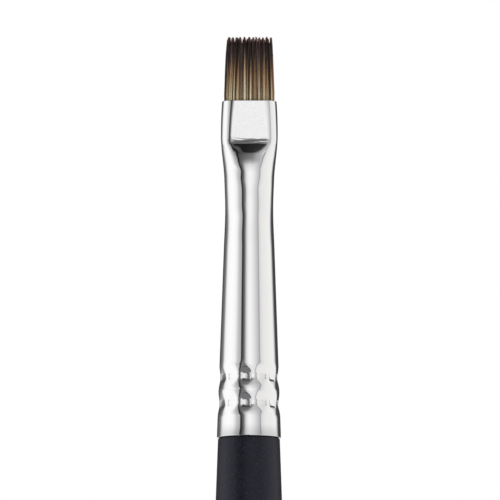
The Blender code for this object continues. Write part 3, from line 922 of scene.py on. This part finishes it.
def filament_nylon():
    """Two-tone nylon, whose tips are a little paler again.

    Each filament has a root colour of its own and turns near black at a height of its own.
    """
    material, tree, shader, place = new_material("filament_nylon")
    values = {}
    for name in ("tone", "red", "turn", "shade"):
        values[name] = node(tree, "Attribute", attribute_name=name).outputs["Fac"]
    olive = (
        (0.00, (0.055, 0.042, 0.026)),
        (0.28, (0.17, 0.13, 0.075)),
        (0.52, (0.36, 0.30, 0.18)),
        (0.76, (0.58, 0.53, 0.35)),
        (1.00, (0.80, 0.79, 0.62)),
    )
    tan = (
        (0.00, (0.060, 0.036, 0.026)),
        (0.28, (0.20, 0.125, 0.078)),
        (0.52, (0.40, 0.27, 0.155)),
        (0.76, (0.60, 0.455, 0.27)),
        (1.00, (0.82, 0.70, 0.49)),
    )
    root = blended(tree, values["red"], ramp(tree, values["tone"], olive), ramp(tree, values["tone"], tan))
    dark_stops = ((0.0, (0.010, 0.006, 0.006)), (0.5, (0.026, 0.017, 0.016)), (1.0, (0.085, 0.056, 0.052)))
    dark = ramp(tree, values["shade"], dark_stops)
    z = parts_of(tree, place)["Z"]
    rise = ranged(tree, z, MOUTH_LEVEL, MOUTH_LEVEL + TUFT_LENGTH)
    above = math_node(tree, "SUBTRACT", rise, values["turn"])
    brown = vector_math(tree, "MULTIPLY", root, (0.66, 0.50, 0.40))
    warmed = blended(tree, ranged(tree, above, -0.40, -0.04, kind="SMOOTHSTEP"), root, brown)
    body = blended(tree, ranged(tree, above, -0.20, 0.26, kind="SMOOTHSTEP"), warmed, dark)
    body = vector_math(tree, "MULTIPLY", body, ramp(tree, rise, ((0.0, (1.22, 1.28, 1.30)), (0.16, 1.0))))
    paled = ranged(tree, values["shade"], 0.25, 0.75, 0.2, 1.0)
    paled = product(tree, paled, ranged(tree, rise, 0.89, 1.0))
    colour = blended(tree, paled, body, plain_colour(tree, (0.34, 0.18, 0.155)))
    rough = ranged(tree, values["shade"], 0, 1, 0.38, 0.55)
    set_inputs(tree, shader, {"Base Color": colour, "Roughness": rough, "Specular IOR Level": 0.22})
    return material


def cast_material(name, low, high, scale, roughness):
    """A plain cast or spun stuff of two close colours, for the pieces inside the ferrule."""
    material, tree, shader, place = new_material(name)
    cloud = noise(tree, place, scale, detail=3.0)
    colour = ramp(tree, cloud, ((0.3, low), (0.7, high)))
    rough = ranged(tree, cloud, 0.3, 0.7, roughness, roughness + 0.1)
    set_inputs(tree, shader, {"Base Color": colour, "Roughness": rough})
    bump(tree, shader, cloud, 0.3, 0.00001)
    return material


def dress_hidden_nodes():
    """The plug, the thread and the glue ring keep their CAD shapes."""
    epoxy = cast_material("cast_epoxy", (0.45, 0.28, 0.08), (0.60, 0.40, 0.15), 1500, 0.2)
    cotton = cast_material("cotton_thread", (0.68, 0.64, 0.56), (0.84, 0.81, 0.74), 9000, 0.85)
    glue = cast_material("cured_glue", (0.62, 0.56, 0.40), (0.76, 0.70, 0.52), 1200, 0.32)
    finishes = {"root_epoxy_plug": epoxy, "tuft_tie_thread": cotton, "tenon_glue_ring": glue}
    for name, material in finishes.items():
        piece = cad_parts[name]
        piece.data.materials.clear()
        piece.data.materials.append(material)


# Studio


# What the dome shows, from behind by the left, the front and the right, as (azimuth, colour). A colour that
# is one number is a level of grey
LEFT_CARDS = (
    (-180, 0.05), (-145, 0.07), (-122, 0.20), (-116, 0.42), (-110, 0.82), (-100, 1.02), (-80, 1.07),
    (-66, 1.0), (-57, 0.86), (-48, 0.60), (-35.5, 0.47), (-34, 0.02), (-27, 0.055),
)
LEVEL_FRONT = ((-23, 0.12), (-20, 0.18), (-16, 0.43), (-11, 0.73), (-6.5, 0.87), (1, 1.0), (15, 0.90))
HIGH_FRONT = (
    (-30.5, 0.05), (-28, 0.38), (-12, 0.72), (0, 1.0), (10, 1.15), (20, 1.3), (36, 1.2), (41.5, 1.0),
)
LOW_FRONT = ((-23, 0.17), (-17, 0.50), (-12, 0.72), (-4, 0.80), (15, 0.84))
LEVEL_RIGHT = ((26, 0.74), (33, 0.63), (39, (0.57, 0.57, 0.60)))
LOW_RIGHT = ((26, 0.80), (37, 0.77), (40, (0.50, 0.50, 0.53)))
RIGHT_CARDS = (
    (41.5, (0.40, 0.40, 0.44)), (44.5, (0.40, 0.40, 0.43)), (47, (0.74, 0.74, 0.73)),
    (62, (0.87, 0.86, 0.84)), (105, (0.95, 0.945, 0.93)),
    (112, 0.85), (120, 0.30), (126, 0.06), (180, 0.05),
)
WHITE_CARD = 0.95
FLAG_GREY = (0.18, 0.18, 0.19)
HIGH_BAND = (0.10, 0.10, 0.11)

# By elevation: what azimuths are multiplied by on the right, on the left and far round
RIGHT_SPREAD = (
    (-8, 1.28), (4, 1.0), (5, 0.98), (6.5, 0.97), (10, 1.02), (14, 0.97), (22, 0.89), (40, 0.86),
)
LEFT_SPREAD = (
    (-6, 1.06), (3, 0.98), (6.5, 0.96), (9.5, 1.08), (10.8, 1.06),
    (12.0, 0.99), (15, 0.90), (22, 0.83), (32, 0.80), (40, 0.80),
)
FAR_SPREAD = ((-6, 0.86), (6.5, 0.93), (10, 1.0))

# By elevation: how much of the cards' light is left in front, on the right of the front and at the sides
OVERHEAD = (
    (-90, 1.0), (10, 1.0), (14, 0.91), (18, 0.80), (21, 0.66), (23, 0.54), (28, 0.35), (33, 0.23),
    (37, 0.195), (50, 0.155), (60, 0.125), (62.5, 0.022), (90, 0.015),
)
OVERHEAD_RIGHT = (
    (-90, 1.0), (10, 1.0), (18, 0.80), (24, 0.55), (30, 0.42),
    (50, 0.37), (54, 0.33), (58, 0.14), (61, 0.03), (90, 0.015),
)
SIDELONG = ((-90, 1.0), (35, 1.0), (52, 0.8), (72, 0.30), (90, 0.02))

# By elevation: the azimuth of the slanted edge of the dark flag on the left of the front
SLANT = (
    (-16, 2), (-14, -3), (-12.5, -9), (-11, -12.5), (-5, -15), (3, -16.5), (5, -18), (6.4, -23), (8, -25),
)
SLANT_RANGE = (-25, 2)


def round_ramp(tree, round_share, stops):
    """A ramp that goes all round, through (azimuth, colour) stops."""
    return ramp(tree, round_share, [(angle / 360 + 0.5, colour) for angle, colour in stops])


def up_ramp(tree, up_share, stops):
    """A ramp from straight down to straight up, through (elevation, level) stops."""
    return ramp(tree, up_share, [(angle / 180 + 0.5, level) for angle, level in stops])


def between(tree, angle, low, high, kind="LINEAR"):
    """0 at the low angle and 1 at the high one, both in degrees."""
    return ranged(tree, angle, math.radians(low), math.radians(high), kind=kind)


def squeezed_azimuth(tree, azimuth, off_front, up_share):
    """The azimuth on the cards, which are wider or narrower at some elevations."""
    right, left = up_ramp(tree, up_share, RIGHT_SPREAD), up_ramp(tree, up_share, LEFT_SPREAD)
    spread = blended(tree, between(tree, azimuth, 5, -5), right, left)
    far = between(tree, off_front, 60, 100, "SMOOTHSTEP")
    scale = blended(tree, far, spread, up_ramp(tree, up_share, FAR_SPREAD))
    return product(tree, azimuth, scale)


def with_flag(tree, ring, azimuth, elevation, up_share):
    """The ring of cards with the dark flag before it, which ends in a slanted edge."""
    least, most = SLANT_RANGE
    shares = [(angle, (way_round - least) / (most - least)) for angle, way_round in SLANT]
    slant = ranged(tree, up_ramp(tree, up_share, shares), 0.0, 1.0, math.radians(least), math.radians(most))
    inside = math_node(tree, "SUBTRACT", slant, azimuth)
    under = between(tree, inside, -1.5, 1.5)
    beside = between(tree, azimuth, -27, -23)
    dark = ramp(tree, between(tree, inside, 0, 9), ((0.0, 0.02), (0.45, 0.03), (1.0, FLAG_GREY)))
    flag = blended(tree, between(tree, elevation, -8.5, -11), plain_colour(tree, FLAG_GREY), dark)
    return blended(tree, product(tree, under, beside), ring, flag)


def light_left(tree, true_azimuth, off_front, up_share):
    """How much of the cards' light is left at each elevation."""
    rightwards = between(tree, true_azimuth, 12, 38)
    front = up_ramp(tree, up_share, OVERHEAD)
    front = blended(tree, rightwards, front, up_ramp(tree, up_share, OVERHEAD_RIGHT))
    sideways = between(tree, off_front, 36, 58, "SMOOTHSTEP")
    return blended(tree, sideways, front, up_ramp(tree, up_share, SIDELONG))


def tent_glow(tree, place):
    """The colour that the dome shows in each direction."""
    axes = parts_of(tree, vector_math(tree, "NORMALIZE", place))
    towards_front = product(tree, axes["Y"], -1.0)
    true_azimuth = math_node(tree, "ARCTAN2", axes["X"], towards_front)
    elevation = math_node(tree, "ARCSINE", axes["Z"])
    off_front = math_node(tree, "ABSOLUTE", true_azimuth)
    up_share = ranged(tree, elevation, -math.pi / 2, math.pi / 2)
    azimuth = squeezed_azimuth(tree, true_azimuth, off_front, up_share)
    round_share = ranged(tree, azimuth, -math.pi, math.pi)
    level_ring = round_ramp(tree, round_share, LEFT_CARDS + LEVEL_FRONT + LEVEL_RIGHT + RIGHT_CARDS)
    high_ring = round_ramp(tree, round_share, LEFT_CARDS[:-1] + HIGH_FRONT + RIGHT_CARDS)
    low_ring = round_ramp(tree, round_share, LEFT_CARDS + LOW_FRONT + LOW_RIGHT + RIGHT_CARDS)
    ring = blended(tree, between(tree, elevation, 4, -4), level_ring, low_ring)
    ring = with_flag(tree, ring, azimuth, elevation, up_share)
    ring = blended(tree, between(tree, elevation, 16, 36), ring, high_ring)
    behind = between(tree, off_front, 145, 168, "SMOOTHSTEP")
    below = between(tree, elevation, 2, -6, "SMOOTHSTEP")
    ring = blended(tree, product(tree, behind, below), ring, plain_colour(tree, WHITE_CARD))
    dimmed = vector_math(tree, "MULTIPLY", ring, light_left(tree, true_azimuth, off_front, up_share))
    band_side, band_end = between(tree, azimuth, -19, -24), between(tree, azimuth, -130, -90)
    on_band = product(tree, band_side, band_end)
    on_band = product(tree, on_band, between(tree, elevation, 57, 61))
    return blended(tree, on_band, dimmed, plain_colour(tree, HIGH_BAND))


def build_tent():
    """The studio that the metal shows: cards and flags on a dome round the brush, for glossy rays alone."""
    material, tree, shader, place = new_material("studio_cards")
    tree.nodes.remove(shader)
    lit = node(tree, "Emission", {"Color": tent_glow(tree, place), "Strength": 1.0})
    set_inputs(tree, tree.nodes["Material Output"], {"Surface": lit.outputs["Emission"]})
    material.cycles.emission_sampling = "NONE"
    bpy.ops.mesh.primitive_ico_sphere_add(subdivisions=5, radius=TENT_RADIUS, location=(0, 0, AIM_HEIGHT))
    tent = bpy.context.object
    tent.name = "studio_tent"
    tent.data.materials.append(material)
    tent.visible_camera = False
    tent.visible_diffuse = False
    tent.visible_transmission = False
    tent.visible_volume_scatter = False
    tent.visible_shadow = False


def build_floor():
    """A pale floor that turns white far from the brush. From below it can be seen through."""
    material, tree, shader, place = new_material("studio_floor")
    set_inputs(tree, shader, {"Base Color": rgba(0.88), "Roughness": 0.7, "Specular IOR Level": 0.1})
    away = node(tree, "VectorMath", {0: place}, operation="LENGTH").outputs["Value"]
    far = ranged(tree, away, 0.15, 0.9, kind="SMOOTHSTEP")
    rays = node(tree, "LightPath").outputs
    seen = product(tree, far, rays["Is Camera Ray"])
    mirrored = product(tree, rays["Is Glossy Ray"], 0.8)
    share = math_node(tree, "MAXIMUM", seen, mirrored)
    white = node(tree, "Emission", {"Color": (1, 1, 1, 1), "Strength": 1.0})
    clear = node(tree, "BsdfTransparent")
    below = node(tree, "NewGeometry").outputs["Backfacing"]
    mixed = node(tree, "MixShader", {0: share, 1: shader.outputs[0], 2: white.outputs[0]})
    sided = node(tree, "MixShader", {0: below, 1: mixed.outputs[0], 2: clear.outputs[0]})
    set_inputs(tree, tree.nodes["Material Output"], {"Surface": sided.outputs["Shader"]})
    material.cycles.emission_sampling = "NONE"
    middle = (0, 0, FLOOR_LEVEL)
    bpy.ops.mesh.primitive_circle_add(vertices=96, radius=FLOOR_RADIUS, fill_type="TRIFAN", location=middle)
    floor = bpy.context.object
    floor.name = "studio_floor"
    floor.data.materials.append(material)
    floor.visible_glossy = False


def build_world():
    """White for what looks straight at it, and softer as light on matt surfaces."""
    world = bpy.data.worlds.new("studio")
    world.use_nodes = True
    bpy.context.scene.world = world
    tree = world.node_tree
    rays = node(tree, "LightPath").outputs
    straight = math_node(tree, "MAXIMUM", rays["Is Camera Ray"], rays["Is Glossy Ray"])
    straight = math_node(tree, "MAXIMUM", straight, rays["Is Transmission Ray"])
    strength = ranged(tree, straight, 0.0, 1.0, AMBIENT, 1.0)
    set_inputs(tree, tree.nodes["Background"], {"Color": (1, 1, 1, 1), "Strength": strength})


def add_lamp(name, azimuth, elevation, level):
    """A soft square lamp aimed at the brush's head."""
    data = bpy.data.lights.new(name, "AREA")
    data.shape = "SQUARE"
    data.size = LAMP_SIZE
    data.energy = level * math.pi**2 * LAMP_DISTANCE**2
    lamp = bpy.data.objects.new(name, data)
    turn, rise = math.radians(azimuth), math.radians(elevation)
    way = Vector((math.sin(turn) * math.cos(rise), -math.cos(turn) * math.cos(rise), math.sin(rise)))
    lamp.location = Vector((0, 0, AIM_HEIGHT)) + way * LAMP_DISTANCE
    lamp.rotation_euler = way.to_track_quat("Z", "Y").to_euler()
    lamp.visible_glossy = False
    bpy.context.scene.collection.objects.link(lamp)


def build_camera():
    rise = math.radians(CAMERA_ELEVATION)
    aim = Vector((AIM_X, 0, AIM_HEIGHT))
    back = Vector((0, -math.cos(rise), math.sin(rise)))
    data = bpy.data.cameras.new("camera")
    data.sensor_width = SENSOR_WIDTH
    data.lens = SENSOR_WIDTH * CAMERA_DISTANCE / FRAME_WIDTH
    data.clip_start = 0.01
    data.clip_end = 100
    camera = bpy.data.objects.new("camera", data)
    roll = Matrix.Rotation(math.radians(CAMERA_ROLL), 4, "Z")
    turned = back.to_track_quat("Z", "Y").to_matrix().to_4x4() @ roll
    camera.matrix_world = Matrix.Translation(aim + back * CAMERA_DISTANCE) @ turned
    bpy.context.scene.collection.objects.link(camera)
    bpy.context.scene.camera = camera


def build_studio():
    build_world()
    build_tent()
    build_floor()
    for lamp in LAMPS:
        add_lamp(*lamp)
    build_camera()
    bpy.context.scene.view_settings.view_transform = "Standard"


build_ferrule(nickel())
build_handle(lacquer())
filament = filament_nylon()
build_tuft(filament, cast_material("packed_root", (0.10, 0.08, 0.05), (0.22, 0.17, 0.11), 9000, 0.6))
dress_hidden_nodes()
build_studio()
